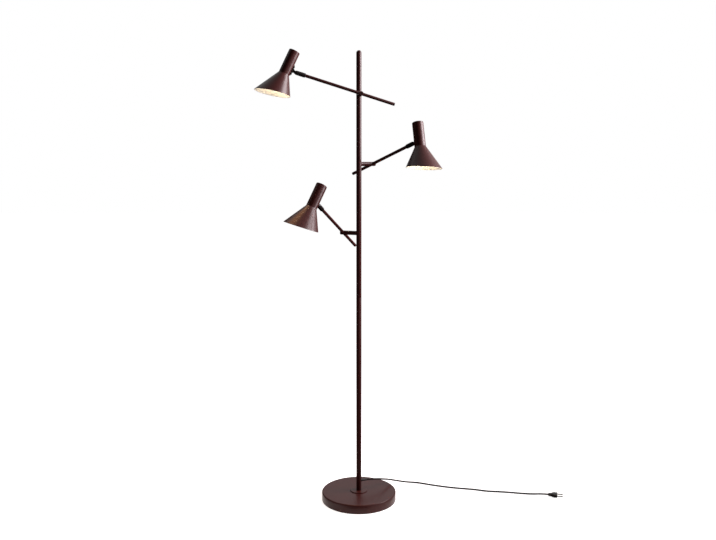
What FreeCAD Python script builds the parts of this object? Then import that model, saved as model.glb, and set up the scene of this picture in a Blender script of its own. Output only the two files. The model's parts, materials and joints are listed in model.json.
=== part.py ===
"""Tree floor lamp: a slim steel pole on a weighted round base, with three tilting arms at
three heights, each carrying a swivelling spot shade. Millimetres, +Z up, the origin at the
centre of the underside of the base, -Y towards the viewer. One STEP file for each piece."""

import FreeCAD, Part
import math
import os

Vector = FreeCAD.Vector

# Fits between pieces
touch_gap = 0.05          # parts of one assembly that seat on each other round a bore
running_gap = 0.05        # radial clearance of a turning fit
side_gap = 0.3            # beside a piece that turns
wire_gap = 0.3            # round a lead in a hole
over = 1.0                # a cutter reaches this far past what it cuts
screw_bevel = 0.5         # on the ends of studs, spigots and pins

# Base
base_radius = 126.0
base_height = 31.0
cover_wall = 1.5
cover_edge_radius = 3.5
cover_lift = 1.0          # the lower edge of the cover clears the floor by this
pad_thick = 2.0
weight_bevel = 2.5
weight_web_under = 16.0   # depth of the hollow ring under the cast weight
weight_web_inner = 32.0
weight_web_outer = 96.0
nut_recess_radius = 18.0
nut_recess_depth = 10.0

# Foot of the pole
stud_radius = 5.0
stud_foot = 3.0
stud_top = 54.0
nut_across_flats = 17.0
nut_height = 6.0
nut_flange_radius = 11.0
nut_flange_thick = 2.0
flange_radius = 29.0
flange_thick = 2.5
flange_bevel = 0.7
flange_spigot = 6.0       # height of the step that centres the pole

# Pole
pole_top = 1500.0         # crown of the cap above the floor
pole_radius = 8.5
pole_wall = 1.5
pole_split = 700.0        # where the two lengths of the pole meet
joint_half = 22.0         # half length of the coupling inside
foot_plug_height = 14.0   # threaded plug brazed in the foot of the pole
cap_skirt = 12.0

# Arms: drop of the boss below the seat of the cap, bearing of the boss round the pole, slope of
# the arm at rest (shade end up), turn of the sleeve about the arm, and tilt of the shade
arms = {
    "upper": {"drop": 131.5, "bearing": -83.0, "side": -1, "slope": 17.0, "swivel": 4.5, "tilt": -9.0},
    "middle": {"drop": 351.5, "bearing": 37.0, "side": -1, "slope": 17.5, "swivel": -6.5, "tilt": 0.0},
    "lower": {"drop": 576.5, "bearing": 157.0, "side": 1, "slope": 28.0, "swivel": -15.0, "tilt": 2.0},
}

# Boss and stub, which reach out from the pole
stub_radius = 7.0
boss_reach = 14.0         # pole axis to the end of the fixed boss
spigot_radius = 4.0
spigot_end = 36.0
boss_root_radius = 4.5
boss_root_in = 1.5        # the root of the boss stands this far inside the pole
wire_bore = 2.0
shoulder = 26.0           # pole axis to the shoulder the friction nut pulls on
stub_bore = 5.75
nut_radius = 5.4
nut_end = 32.0
nut_notch = 1.6
arm_reach = 56.0          # pole axis to arm axis
stub_end = 63.5
stub_cap_thick = 2.0
stub_cap_plug = 2.2
stub_cap_bevel = 0.8
grub_radius = 2.5
grub_socket = 1.3
grub_socket_depth = 1.8
grub_sunk = 0.5

# Arm
arm_radius = 5.0
arm_wall = 1.2
arm_free = 112.0          # stub to the free end
arm_plug_thick = 1.6
arm_plug_skirt = 8.0
arm_plug_bevel = 0.8

# Swivel sleeve on the end of the arm
sleeve_radius = 7.0
sleeve_tail = 25.0        # behind the pivot
sleeve_tip = 12.0         # past the pivot
sleeve_bevel = 0.8
sleeve_taper = 8.0        # the fork narrows over this length towards its tips
sleeve_tip_radius = 3.8
pivot_reach = 208.0       # stub to the pivot of the shade
slot_depth = 7.0          # pivot to the floor of the slot
slot_width = 5.4
sleeve_web = 2.0          # between the bore and the slot
pivot_radius = 1.5
pivot_head_radius = 2.8
pivot_head_thick = 1.5
pivot_head_sunk = 0.2
pivot_tip_sunk = 0.4
pivot_slot = 0.8

# Lug on the shade
pivot_gap = 19.0          # pivot to the wall of the shade's neck
pivot_rise = 21.0         # above the foot of the neck
tongue_round = 5.0
tongue_half = 3.0
tongue_root_half = 8.0
tongue_flare = 6.5        # the tongue widens over this length beside the saddle
saddle_thick = 2.5
saddle_width = 14.0
saddle_length = 34.0
lug_screw_pitch = 22.0
lug_screw_radius = 1.5
lug_head_radius = 2.5
lug_head_thick = 1.8
lug_screw_tip = 0.6       # the tip stands this far past the bracket

# Shade, a spun shell: a cylinder neck that flares to a cone with a slanting rim
neck_radius = 17.5
neck_length = 78.0
shade_wall = 1.2
neck_edge_radius = 2.0
cone_half_angle = 28.5
cone_depth = 68.0         # foot of the neck to the rim, on the axis
rim_slant = 14.0
flare_radius = 8.0

# Lamp holder and bulb inside the shade
bracket_thick = 1.5
bracket_width = 12.0
bracket_foot = 5.0        # lower end of the strap above the foot of the neck
bracket_top = 53.5
bracket_reach = 8.0       # past the axis
holder_radius = 13.0
holder_mouth = 8.0
holder_chamfer = 3.0
socket_radius = 7.3
socket_depth = 24.5
nipple_radius = 5.0
nipple_length = 8.0
nipple_nut_radius = 8.0
nipple_nut_thick = 3.0
bulb_radius = 22.5
bulb_centre = -24.0       # below the foot of the neck
bulb_neck_radius = 6.4
bulb_neck_top = 6.5
glass_wall = 0.8
bulb_cap_radius = 6.9
bulb_cap_length = 18.5
contact_radius = 2.5
contact_length = 6.0
contact_thick = 1.5
cap_roll = 1.6            # rolled lower edge of the cap

# Lead inside the pole
lead_radius = 2.5
lead_start = 57.0
lead_over = 3.0           # past the axis of the upper boss

# Mains cord
cord_radius = 2.75
exit_height = 68.0
exit_bearing = 12.0
exit_run = 17.0           # straight out of the strain relief
relief_length = 20.0
relief_root_radius = 4.4
relief_tip_radius = 3.5
relief_stem_radius = 3.8
relief_flange_radius = 5.2
relief_flange_thick = 1.5
relief_stem_in = 5.5      # pole axis to the inner end of the stem
relief_bore = 1.0
plug_length = 30.0
plug_width = 26.0
plug_rear_width = 12.0
plug_thick = 13.7
plug_rear_thick = 9.0
plug_rear_corner = 3.6
plug_collar = 8.0
plug_neck_width = 15.0
plug_neck_thick = 9.9
plug_face_start = 18.6    # the full width of the face begins here
plug_corner = 4.1
plug_bearing = -12.0
plug_run = 20.0           # straight into the plug
pin_radius = 2.0
pin_length = 19.0
pin_pitch = 18.6
pin_in = 6.0

# The cord's route between its two straight ends, chosen by hand: over the rim of the base,
# then along the floor. The third value is the cord's underside above the floor.
route_middle = [
    (66.0, 22.0, 61.25), (88.0, 42.0, 52.0), (108.0, 66.0, 41.0), (130.0, 92.0, 27.0),
    (155.0, 119.5, 12.0), (180.0, 135.5, 3.0), (209.0, 139.5, 0.0), (242.0, 125.0, 0.0),
    (281.0, 108.5, 0.0), (331.0, 92.0, 0.0), (374.0, 83.0, 0.0), (412.0, 75.0, 0.0),
    (446.0, 61.5, 0.0), (482.0, 57.5, 0.0), (523.0, 51.5, 0.0), (570.0, 41.0, 0.0),
    (603.0, 35.4, 0.6),
]
plug_place = (655.0, 24.0)


def ring(outer, inner, low, high):
    """A flat-ended tube about Z, or a disc where inner is 0."""
    body = Part.makeCylinder(outer, high - low, Vector(0, 0, low))
    if inner > 0:
        body = body.cut(Part.makeCylinder(inner, high - low + 2, Vector(0, 0, low - 1)))
    return body


def revolved(edges):
    """A closed profile in the XZ plane, turned about Z."""
    return Part.Face(Part.Wire(edges)).revolve(Vector(0, 0, 0), Vector(0, 0, 1), 360)


def line(a, b):
    return Part.LineSegment(Vector(a[0], 0, a[1]), Vector(b[0], 0, b[1])).toShape()


def arc(a, middle, b):
    return Part.Arc(*(Vector(p[0], 0, p[1]) for p in (a, middle, b))).toShape()


def turned(points):
    """A straight-sided profile of (radius, height) points, turned about Z."""
    return revolved([line(a, b) for a, b in zip(points, points[1:] + points[:1])])


def around(centre, radius, degrees):
    """A point of a circle in the profile plane."""
    angle = math.radians(degrees)
    return (centre[0] + radius * math.cos(angle), centre[1] + radius * math.sin(angle))


def bevelled_rod(radius, start, end, bevel):
    """A rod about Z whose two end edges are bevelled."""
    return turned([(0, start), (radius - bevel, start), (radius, start + bevel),
                   (radius, end - bevel), (radius - bevel, end), (0, end)])


def hexagon_rod(corner, low, high):
    """A hexagonal rod about Z, of the given radius at its corners."""
    flat = [around((0, 0), corner, 60 * i) for i in range(7)]
    outline = Part.makePolygon([Vector(x, y, low) for x, y in flat])
    return Part.Face(outline).extrude(Vector(0, 0, high - low))


def along(shape, direction, origin=Vector(0, 0, 0)):
    """Stands a shape made about +Z along a direction."""
    placed = shape.copy()
    turn = FreeCAD.Rotation(Vector(0, 0, 1), direction)
    placed.Placement = FreeCAD.Placement(origin, turn).multiply(placed.Placement)
    return placed


def put(shape, origin, x_axis, z_axis):
    """Moves a shape from its own frame to a place given by its origin, X and Z axes."""
    y_axis = z_axis.cross(x_axis)
    matrix = FreeCAD.Matrix(x_axis.x, y_axis.x, z_axis.x, origin.x,
                            x_axis.y, y_axis.y, z_axis.y, origin.y,
                            x_axis.z, y_axis.z, z_axis.z, origin.z,
                            0, 0, 0, 1)
    placed = shape.copy()
    placed.Placement = FreeCAD.Placement(matrix).multiply(placed.Placement)
    return placed


def boss_height(arm):
    return pole_top - pole_radius - arm["drop"]


def arm_frame(arm):
    """The directions and points of one arm at rest: the stub, the arm, the shade and pivots."""
    bearing = math.radians(arm["bearing"])
    slope, swivel, tilt = (math.radians(arm[key]) for key in ("slope", "swivel", "tilt"))
    stub = Vector(math.cos(bearing), math.sin(bearing), 0)
    level = Vector(0, 0, 1).cross(stub) * arm["side"]
    out = level * math.cos(slope) + Vector(0, 0, math.sin(slope))
    rise = (Vector(0, 0, 1) - out * out.z).normalize()
    up = rise * math.cos(swivel) + out.cross(rise) * math.sin(swivel)
    neck = up * math.cos(tilt) + out * math.sin(tilt)
    away = out * math.cos(tilt) - up * math.sin(tilt)
    root = Vector(0, 0, boss_height(arm))
    cross = root + stub * arm_reach
    pivot = cross + out * pivot_reach
    foot = pivot + away * (pivot_gap + neck_radius) - neck * pivot_rise
    return {"root": root, "stub": stub, "cross": cross, "out": out, "rise": rise, "up": up,
            "pivot": pivot, "neck": neck, "away": away, "foot": foot}


# Base and pole

def make_base_pad():
    return ring(base_radius - cover_wall - side_gap, 0, 0, pad_thick)


def make_base_weight():
    """Cast iron disc with a hollow ring and a recess for the nut on its underside."""
    top = base_height - cover_wall
    outer = base_radius - cover_wall - side_gap
    body = turned([(0, pad_thick), (outer, pad_thick), (outer, top - weight_bevel),
                   (outer - weight_bevel, top), (0, top)])
    hollow = ring(weight_web_outer, weight_web_inner, pad_thick - 1, pad_thick + weight_web_under)
    recess = ring(nut_recess_radius, 0, pad_thick - 1, pad_thick + nut_recess_depth)
    return body.cut(hollow).cut(recess).cut(ring(stud_radius + touch_gap, 0, 0, base_height))


def make_base_cover():
    """Pressed steel cover: a flat top, a rounded edge and an upright skirt."""
    bore = stud_radius + touch_gap
    inner = base_radius - cover_wall
    edge = (base_radius - cover_edge_radius, base_height - cover_edge_radius)
    inside = cover_edge_radius - cover_wall
    return revolved([
        line((bore, base_height - cover_wall), (bore, base_height)),
        line((bore, base_height), (edge[0], base_height)),
        arc((edge[0], base_height), around(edge, cover_edge_radius, 45), (base_radius, edge[1])),
        line((base_radius, edge[1]), (base_radius, cover_lift)),
        line((base_radius, cover_lift), (inner, cover_lift)),
        line((inner, cover_lift), (inner, edge[1])),
        arc((inner, edge[1]), around(edge, inside, 45), (edge[0], base_height - cover_wall)),
        line((edge[0], base_height - cover_wall), (bore, base_height - cover_wall)),
    ])


def make_foot_flange():
    """Thin disc between base and pole, with a step that centres the pole."""
    top = base_height + flange_thick
    bore = stud_radius + touch_gap
    step = pole_radius - pole_wall - touch_gap
    return turned([(bore, base_height), (flange_radius, base_height),
                   (flange_radius, top - flange_bevel), (flange_radius - flange_bevel, top),
                   (step, top), (step, top + flange_spigot), (bore, top + flange_spigot)])


def make_base_stud():
    return bevelled_rod(stud_radius, stud_foot, stud_top, screw_bevel)


def make_base_nut():
    """Hexagon nut with a flange, pulled up into the recess of the weight."""
    seat = pad_thick + nut_recess_depth
    low = seat - nut_flange_thick - nut_height
    corner = nut_across_flats / 2 / math.cos(math.radians(30))
    hexagon = hexagon_rod(corner, low, low + nut_height)
    body = hexagon.fuse(ring(nut_flange_radius, 0, seat - nut_flange_thick, seat))
    return body.cut(ring(stud_radius + touch_gap, 0, low - 1, seat + 1)).removeSplitter()


def boss_hole(arm):
    """The hole in the wall of the pole that the root of a boss fills."""
    place = arm_frame(arm)
    return along(ring(boss_root_radius + touch_gap, 0, 0, pole_radius * 2), place["stub"], place["root"])


def pole_tube(low, high):
    """One length of the pole, with the holes of the bosses that stand on it."""
    body = ring(pole_radius, pole_radius - pole_wall, low, high)
    for arm in arms.values():
        if low < boss_height(arm) < high:
            body = body.cut(boss_hole(arm))
    return body


def exit_direction():
    bearing = math.radians(exit_bearing)
    return Vector(math.cos(bearing), math.sin(bearing), 0)


def make_pole_lower():
    """Lower length, with the threaded plug in its foot and the hole for the cord."""
    seat = base_height + flange_thick
    body = pole_tube(seat, pole_split)
    low = seat + flange_spigot + touch_gap
    brazed = pole_radius - pole_wall / 2
    plug = ring(brazed, stud_radius + touch_gap, low, low + foot_plug_height)
    body = body.fuse(plug).removeSplitter()
    hole = along(ring(relief_stem_radius + touch_gap, 0, 0, pole_radius * 2),
                 exit_direction(), Vector(0, 0, exit_height))
    return body.cut(hole)


def make_pole_upper():
    return pole_tube(pole_split, pole_top - pole_radius)


def make_pole_joint():
    """Coupling inside the pole where its two lengths meet, bored for the lead."""
    return ring(pole_radius - pole_wall - touch_gap, lead_radius + wire_gap,
                pole_split - joint_half, pole_split + joint_half)


def make_pole_cap():
    """Half-round cap with a skirt that plugs the top of the pole."""
    seat = pole_top - pole_radius
    skirt = pole_radius - pole_wall - touch_gap
    return revolved([
        line((0, seat - cap_skirt), (skirt, seat - cap_skirt)),
        line((skirt, seat - cap_skirt), (skirt, seat)),
        line((skirt, seat), (pole_radius, seat)),
        arc((pole_radius, seat), around((0, seat), pole_radius, 45), (0, pole_top)),
        line((0, pole_top), (0, seat - cap_skirt)),
    ])


def make_stub_bosses():
    """Three turned bosses brazed to the pole: a saddled collar and a hollow spigot."""
    bosses = []
    for arm in arms.values():
        place = arm_frame(arm)
        collar = ring(stub_radius, 0, 0, boss_reach)
        collar = along(collar, place["stub"], place["root"])
        half = 2 * stub_radius
        height = boss_height(arm)
        pole = ring(pole_radius + touch_gap, 0, height - half, height + half)
        root_start = pole_radius - pole_wall - boss_root_in
        spigot = bevelled_rod(spigot_radius, pole_radius, spigot_end, screw_bevel)
        spigot = spigot.fuse(ring(boss_root_radius, 0, root_start, boss_reach - over))
        spigot = spigot.cut(ring(wire_bore, 0, 0, spigot_end + over))
        spigot = along(spigot, place["stub"], place["root"])
        bore = along(ring(wire_bore, 0, 0, boss_reach + over), place["stub"], place["root"])
        bosses.append(collar.cut(pole).cut(bore).fuse(spigot).removeSplitter())
    return Part.Compound(bosses)


def make_friction_nuts():
    """Round nuts on the spigots, which hold the stubs and set how firmly they turn."""
    nuts = []
    for arm in arms.values():
        place = arm_frame(arm)
        nut = ring(nut_radius, spigot_radius + touch_gap, shoulder + touch_gap * 2, nut_end)
        notch = Part.makeBox(nut_radius * 2 + 2, nut_notch, nut_notch,
                             Vector(-nut_radius - 1, -nut_notch / 2, nut_end - nut_notch))
        nuts.append(along(nut.cut(notch), place["stub"], place["root"]))
    return Part.Compound(nuts)


def make_inner_lead():
    top = max(boss_height(arm) for arm in arms.values()) + lead_over
    return ring(lead_radius, 0, lead_start, top)


# One arm, made in the frame of its stub (Z along the stub, X along the arm)

def make_stub():
    """Turned tube that swings on the spigot; the arm passes through its outer end."""
    body = ring(stub_radius, spigot_radius + running_gap, boss_reach + side_gap, stub_end)
    body = body.cut(ring(stub_bore, 0, shoulder, stub_end + 1))
    cross_hole = along(ring(arm_radius + touch_gap, 0, -stub_radius * 2, stub_radius * 2),
                       Vector(1, 0, 0), Vector(0, 0, arm_reach))
    return body.cut(cross_hole)


def make_stub_cap():
    """Cap screwed into the end of the stub, threaded for the grub screw."""
    low = stub_end - stub_cap_plug
    high = stub_end + stub_cap_thick
    plug = stub_bore - touch_gap
    bore = grub_radius + touch_gap
    return turned([(bore, low), (plug, low), (plug, stub_end), (stub_radius, stub_end),
                   (stub_radius, high - stub_cap_bevel), (stub_radius - stub_cap_bevel, high),
                   (bore, high)])


def make_grub_screw():
    """Socket screw in the cap, which clamps the arm."""
    low = arm_reach + arm_radius + touch_gap
    high = stub_end + stub_cap_thick - grub_sunk
    body = bevelled_rod(grub_radius, low, high, screw_bevel)
    return body.cut(hexagon_rod(grub_socket, high - grub_socket_depth, high + over))


def make_arm_tube():
    """Arm, from the plug at its free end to the bore of the sleeve, with a wire hole."""
    start = -(arm_free - arm_plug_thick)
    end = pivot_reach - slot_depth - sleeve_web - side_gap
    body = ring(arm_radius, arm_radius - arm_wall, start, end)
    wire = along(ring(wire_bore, 0, 0, arm_radius + 1), Vector(1, 0, 0))
    body = body.cut(wire)
    return along_x(body)


def along_x(shape):
    """Turns a shape made about Z so that Z becomes the arm's X, and its X becomes -Z."""
    placed = shape.copy()
    turn = FreeCAD.Rotation(Vector(0, 1, 0), 90)
    placed.Placement = FreeCAD.Placement(Vector(0, 0, arm_reach), turn).multiply(placed.Placement)
    return placed


def make_arm_plug():
    """Plug with a bevelled face in the free end of the arm."""
    skirt = arm_radius - arm_wall - touch_gap
    face = -arm_free
    back = face + arm_plug_thick
    edge = arm_plug_bevel
    body = turned([(0, face), (arm_radius - edge, face), (arm_radius, face + edge), (arm_radius, back),
                   (skirt, back), (skirt, back + arm_plug_skirt), (0, back + arm_plug_skirt)])
    return along_x(body)


# The sleeve and the shade, made in the frame of the pivot (X along the arm, Y along the pivot)

def pivot_rod(radius, low, high):
    """A rod on the pivot's axis, from low to high along Y."""
    return Part.makeCylinder(radius, high - low, Vector(0, low, 0), Vector(0, 1, 0))


def make_sleeve():
    """Swivel sleeve: bored for the arm at one end, forked and tapered at the other."""
    start = -sleeve_tail
    end = sleeve_tip
    floor = -slot_depth
    edge = sleeve_bevel
    body = turned([(0, start), (sleeve_radius - edge, start), (sleeve_radius, start + edge),
                   (sleeve_radius, end - sleeve_taper), (sleeve_tip_radius, end), (0, end)])
    body = body.cut(ring(arm_radius + running_gap, 0, start - 1, floor - sleeve_web))
    body = along(body, Vector(1, 0, 0))
    slot = Part.makeBox(end - floor + 1, slot_width, sleeve_radius * 2 + 2,
                        Vector(floor, -slot_width / 2, -sleeve_radius - 1))
    body = body.cut(slot).cut(pivot_rod(pivot_radius + touch_gap, -sleeve_radius - 1, sleeve_radius + 1))
    seat = sleeve_radius - pivot_head_sunk - pivot_head_thick
    for side in (-1, 1):
        low, high = sorted((side * seat, side * (sleeve_radius + 1)))
        body = body.cut(pivot_rod(pivot_head_radius + touch_gap, low, high))
    wire = along(ring(wire_bore, 0, floor - sleeve_web - 1, floor + 1), Vector(1, 0, 0))
    return body.cut(wire)


def make_pivot_screw():
    """Shoulder screw through fork and lug, with its round nut on the far side."""
    seat = sleeve_radius - pivot_head_sunk - pivot_head_thick
    top = seat + pivot_head_thick
    screw = pivot_rod(pivot_radius, -top + pivot_tip_sunk, top)
    screw = screw.fuse(pivot_rod(pivot_head_radius, seat, top)).removeSplitter()
    slot = Part.makeBox(pivot_head_radius * 2 + 2, pivot_slot, pivot_slot,
                        Vector(-pivot_head_radius - 1, top - pivot_slot, -pivot_slot / 2))
    nut = pivot_rod(pivot_head_radius, -top, -seat)
    nut = nut.cut(pivot_rod(pivot_radius + touch_gap, -top - 1, -seat + 1))
    return Part.Compound([screw.cut(slot), nut])


# The shade's own frame: Z up the neck from its foot, X away from the arm

pivot_x = -(neck_radius + pivot_gap)


def lug_screw_heights():
    return [pivot_rise + side * lug_screw_pitch / 2 for side in (-1, 1)]


def neck_band(inner, outer, width, low, high, rounded):
    """A curved plate on the arm side of the neck, with round ends if asked."""
    band = ring(outer, inner, low, high)
    half = width / 2
    if not rounded:
        return band.common(Part.makeBox(outer + 1, width, high - low, Vector(-outer - 1, -half, low)))
    plate = Part.makeBox(outer + 1, width, high - low - width, Vector(-outer - 1, -half, low + half))
    for centre in (low + half, high - half):
        plate = plate.fuse(Part.makeCylinder(half, outer + 1, Vector(-outer - 1, 0, centre), Vector(1, 0, 0)))
    return band.common(plate.removeSplitter())


def screw_holes(radius, depth_from, depth_to):
    """Holes or shanks of the two lug screws, between two distances from the neck's axis."""
    return [Part.makeCylinder(radius, depth_from - depth_to, Vector(-depth_from, 0, z), Vector(1, 0, 0))
            for z in lug_screw_heights()]


def make_lug():
    """Saddle on the neck with a tongue that the fork holds."""
    inner = neck_radius + touch_gap
    outer = inner + saddle_thick
    half = saddle_length / 2
    body = neck_band(inner, outer, saddle_width, pivot_rise - half, pivot_rise + half, True)
    width = slot_width - 2 * side_gap
    flare = -outer - tongue_flare
    root = -outer + saddle_thick / 4
    profile = [(pivot_x, -tongue_half), (flare, -tongue_half), (root, -tongue_root_half),
               (root, tongue_root_half), (flare, tongue_half), (pivot_x, tongue_half)]
    points = [Vector(x, -width / 2, pivot_rise + z) for x, z in profile + profile[:1]]
    tongue = Part.Face(Part.makePolygon(points)).extrude(Vector(0, width, 0))
    eye = Part.makeCylinder(tongue_round, width, Vector(pivot_x, -width / 2, pivot_rise), Vector(0, 1, 0))
    tongue = tongue.fuse(eye)
    hole = Part.makeCylinder(pivot_radius + running_gap, width + 2,
                             Vector(pivot_x, -width / 2 - 1, pivot_rise), Vector(0, 1, 0))
    body = body.fuse(tongue.cut(hole))
    for shank in screw_holes(lug_screw_radius + touch_gap, outer + 2, inner - 2):
        body = body.cut(shank)
    return body.removeSplitter()


def make_lug_screws():
    """Two pan-head screws from the saddle through the neck into the bracket."""
    seat = neck_radius + touch_gap + saddle_thick
    tip = neck_radius - shade_wall - bracket_thick - lug_screw_tip
    heads = screw_holes(lug_head_radius, seat + lug_head_thick, seat)
    shanks = screw_holes(lug_screw_radius, seat + lug_head_thick / 2, tip)
    return Part.Compound([head.fuse(shank).removeSplitter() for head, shank in zip(heads, shanks)])


def make_shade():
    """Spun shell: closed neck, a blend into the cone, and a rim cut on the slant."""
    angle = math.radians(cone_half_angle)
    inner = neck_radius - shade_wall
    slant = math.tan(math.radians(rim_slant))
    mouth = neck_radius + cone_depth * math.tan(angle)
    reach = cone_depth + 2 * mouth * slant
    blend = (neck_radius + flare_radius, flare_radius * math.tan(angle / 2))
    outer_foot = around(blend, flare_radius, 180 + cone_half_angle)
    inner_foot = around(blend, flare_radius + shade_wall, 180 + cone_half_angle)
    outer_rim = (outer_foot[0] + (outer_foot[1] + reach) * math.tan(angle), -reach)
    inner_rim = (inner_foot[0] + (inner_foot[1] + reach) * math.tan(angle), -reach)
    edge = (neck_radius - neck_edge_radius, neck_length - neck_edge_radius)
    inside = neck_edge_radius - shade_wall
    roof = neck_length - shade_wall
    halfway = 180 + cone_half_angle / 2
    shell = revolved([
        line((0, roof), (0, neck_length)),
        line((0, neck_length), (edge[0], neck_length)),
        arc((edge[0], neck_length), around(edge, neck_edge_radius, 45), (neck_radius, edge[1])),
        line((neck_radius, edge[1]), (neck_radius, blend[1])),
        arc((neck_radius, blend[1]), around(blend, flare_radius, halfway), outer_foot),
        line(outer_foot, outer_rim),
        line(outer_rim, inner_rim),
        line(inner_rim, inner_foot),
        arc(inner_foot, around(blend, flare_radius + shade_wall, halfway), (inner, blend[1])),
        line((inner, blend[1]), (inner, edge[1])),
        arc((inner, edge[1]), around(edge, inside, 45), (edge[0], roof)),
        line((edge[0], roof), (0, roof)),
    ])
    size = 4 * reach
    below = Part.makeBox(size, size, size, Vector(-size / 2, -size / 2, -size))
    below.rotate(Vector(0, 0, 0), Vector(0, 1, 0), rim_slant)
    below.translate(Vector(0, 0, -cone_depth))
    shell = shell.cut(below)
    for hole in screw_holes(lug_screw_radius + touch_gap, neck_radius + 2, inner - 2):
        shell = shell.cut(hole)
    return shell


def make_holder_bracket():
    """Strap inside the neck, bent over at the top to carry the lamp holder."""
    outer = neck_radius - shade_wall - touch_gap
    inner = outer - bracket_thick
    strap = neck_band(inner, outer, bracket_width, bracket_foot, bracket_top, False)
    shelf = ring(outer, 0, bracket_top - bracket_thick, bracket_top)
    shelf = shelf.common(Part.makeBox(outer + bracket_reach, outer * 2, bracket_top,
                                      Vector(-outer, -outer, 0)))
    body = strap.fuse(shelf).cut(ring(nipple_radius + touch_gap, 0, 0, bracket_top + 1))
    for hole in screw_holes(lug_screw_radius + touch_gap, outer + 2, inner - 2):
        body = body.cut(hole)
    return body.removeSplitter()


def make_lamp_holder():
    """Lamp holder with a hollow nipple through the shelf, and its nut on top."""
    seat = bracket_top - bracket_thick
    chamfer = holder_chamfer
    body = turned([(0, holder_mouth), (holder_radius, holder_mouth), (holder_radius, seat - chamfer),
                   (holder_radius - chamfer, seat), (nipple_radius, seat), (nipple_radius, bracket_top),
                   (nipple_nut_radius, bracket_top), (nipple_nut_radius, bracket_top + nipple_nut_thick),
                   (nipple_radius, bracket_top + nipple_nut_thick), (nipple_radius, seat + nipple_length),
                   (0, seat + nipple_length)])
    body = body.cut(ring(socket_radius, 0, holder_mouth - 1, holder_mouth + socket_depth))
    return body.cut(ring(wire_bore, 0, 0, seat + nipple_length + 1))


def make_bulb_glass():
    """Ball bulb: a thin glass shell, open where its cap closes it."""
    def outline(radius, neck):
        """Neck point and the point where a straight side meets the ball."""
        rise = bulb_neck_top - bulb_centre
        far = math.hypot(neck, rise)
        angle = math.degrees(math.atan2(rise, neck) - math.acos(radius / far))
        return angle, around((0, bulb_centre), radius, angle)

    inner = bulb_radius - glass_wall
    angle_out, foot_out = outline(bulb_radius, bulb_neck_radius)
    angle_in, foot_in = outline(inner, bulb_neck_radius - glass_wall)
    centre = (0, bulb_centre)
    return revolved([
        line((bulb_neck_radius - glass_wall, bulb_neck_top), (bulb_neck_radius, bulb_neck_top)),
        line((bulb_neck_radius, bulb_neck_top), foot_out),
        arc(foot_out, around(centre, bulb_radius, (angle_out - 90) / 2), (0, bulb_centre - bulb_radius)),
        line((0, bulb_centre - bulb_radius), (0, bulb_centre - inner)),
        arc((0, bulb_centre - inner), around(centre, inner, (angle_in - 90) / 2), foot_in),
        line(foot_in, (bulb_neck_radius - glass_wall, bulb_neck_top)),
    ])


def make_bulb_cap():
    """Screw cap of the bulb, with its end contact."""
    foot = bulb_neck_top
    skirt = foot + bulb_cap_length
    shoulder_top = skirt + contact_length - contact_thick
    return turned([(0, foot), (bulb_neck_radius, foot), (bulb_cap_radius, foot + cap_roll),
                   (bulb_cap_radius, skirt), (contact_radius, shoulder_top),
                   (contact_radius, skirt + contact_length), (0, skirt + contact_length)])


# Mains cord

def plug_frame():
    """Where the cord enters the plug, which lies flat on the floor, and the way it points."""
    bearing = math.radians(plug_bearing)
    entry = Vector(plug_place[0], plug_place[1], plug_thick / 2)
    return entry, Vector(math.cos(bearing), math.sin(bearing), 0)


def route():
    """The cord's points, from the strain relief to the plug."""
    start = exit_direction() * (pole_radius + relief_length) + Vector(0, 0, exit_height)
    middle = [Vector(x, y, cord_radius + lift) for x, y, lift in route_middle]
    entry, ahead = plug_frame()
    return [start, start + exit_direction() * exit_run] + middle + [entry - ahead * plug_run, entry]


def cord_path(points):
    """Straight runs joined by tangent arcs, each as large as its two runs allow."""
    edges, radii = [], []
    last = points[0]
    for before, here, after in zip(points, points[1:], points[2:]):
        back = before - here
        on = after - here
        shorter = min(back.Length, on.Length)
        back.normalize()
        on.normalize()
        half_turn = (math.pi - back.getAngle(on)) / 2
        trim = 0.45 * shorter
        radius = trim / math.tan(half_turn)
        radii.append(radius)
        first = here + back * trim
        second = here + on * trim
        middle = here + (back + on).normalize() * (radius / math.cos(half_turn) - radius)
        edges.append(Part.LineSegment(last, first).toShape())
        edges.append(Part.Arc(first, middle, second).toShape())
        last = second
    edges.append(Part.LineSegment(last, points[-1]).toShape())
    return Part.Wire(edges), radii


def make_power_cord():
    points = route()
    path, radii = cord_path(points)
    start = (points[1] - points[0]).normalize()
    section = Part.Wire(Part.Circle(points[0], start, cord_radius).toShape())
    tube = path.makePipeShell([section], True, False)
    expected = math.pi * cord_radius ** 2 * path.Length
    print("cord length %.1f mm, least bend radius %.1f mm" % (path.Length, min(radii)))
    print("cord bend radii", " ".join("%.0f" % radius for radius in radii))
    print("cord volume over section times length %.4f" % (tube.Volume / expected))
    return tube


def make_cord_relief():
    """Tapered boot where the cord leaves the pole, with a stem through the wall."""
    tip = pole_radius + relief_length
    collar = pole_radius + relief_flange_thick
    inside = pole_radius - 2 * relief_flange_thick
    bore = relief_bore
    body = turned([(bore, inside), (relief_flange_radius, inside), (relief_flange_radius, collar),
                   (relief_root_radius, collar), (relief_tip_radius, tip), (bore, tip)])
    body = along(body, exit_direction(), Vector(0, 0, exit_height))
    half = 2 * relief_flange_radius
    pole = ring(pole_radius + touch_gap, 0, exit_height - half, exit_height + half)
    stem = along(ring(relief_stem_radius, bore, relief_stem_in, pole_radius + touch_gap),
                 exit_direction(), Vector(0, 0, exit_height))
    return body.cut(pole).fuse(stem).removeSplitter()


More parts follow.
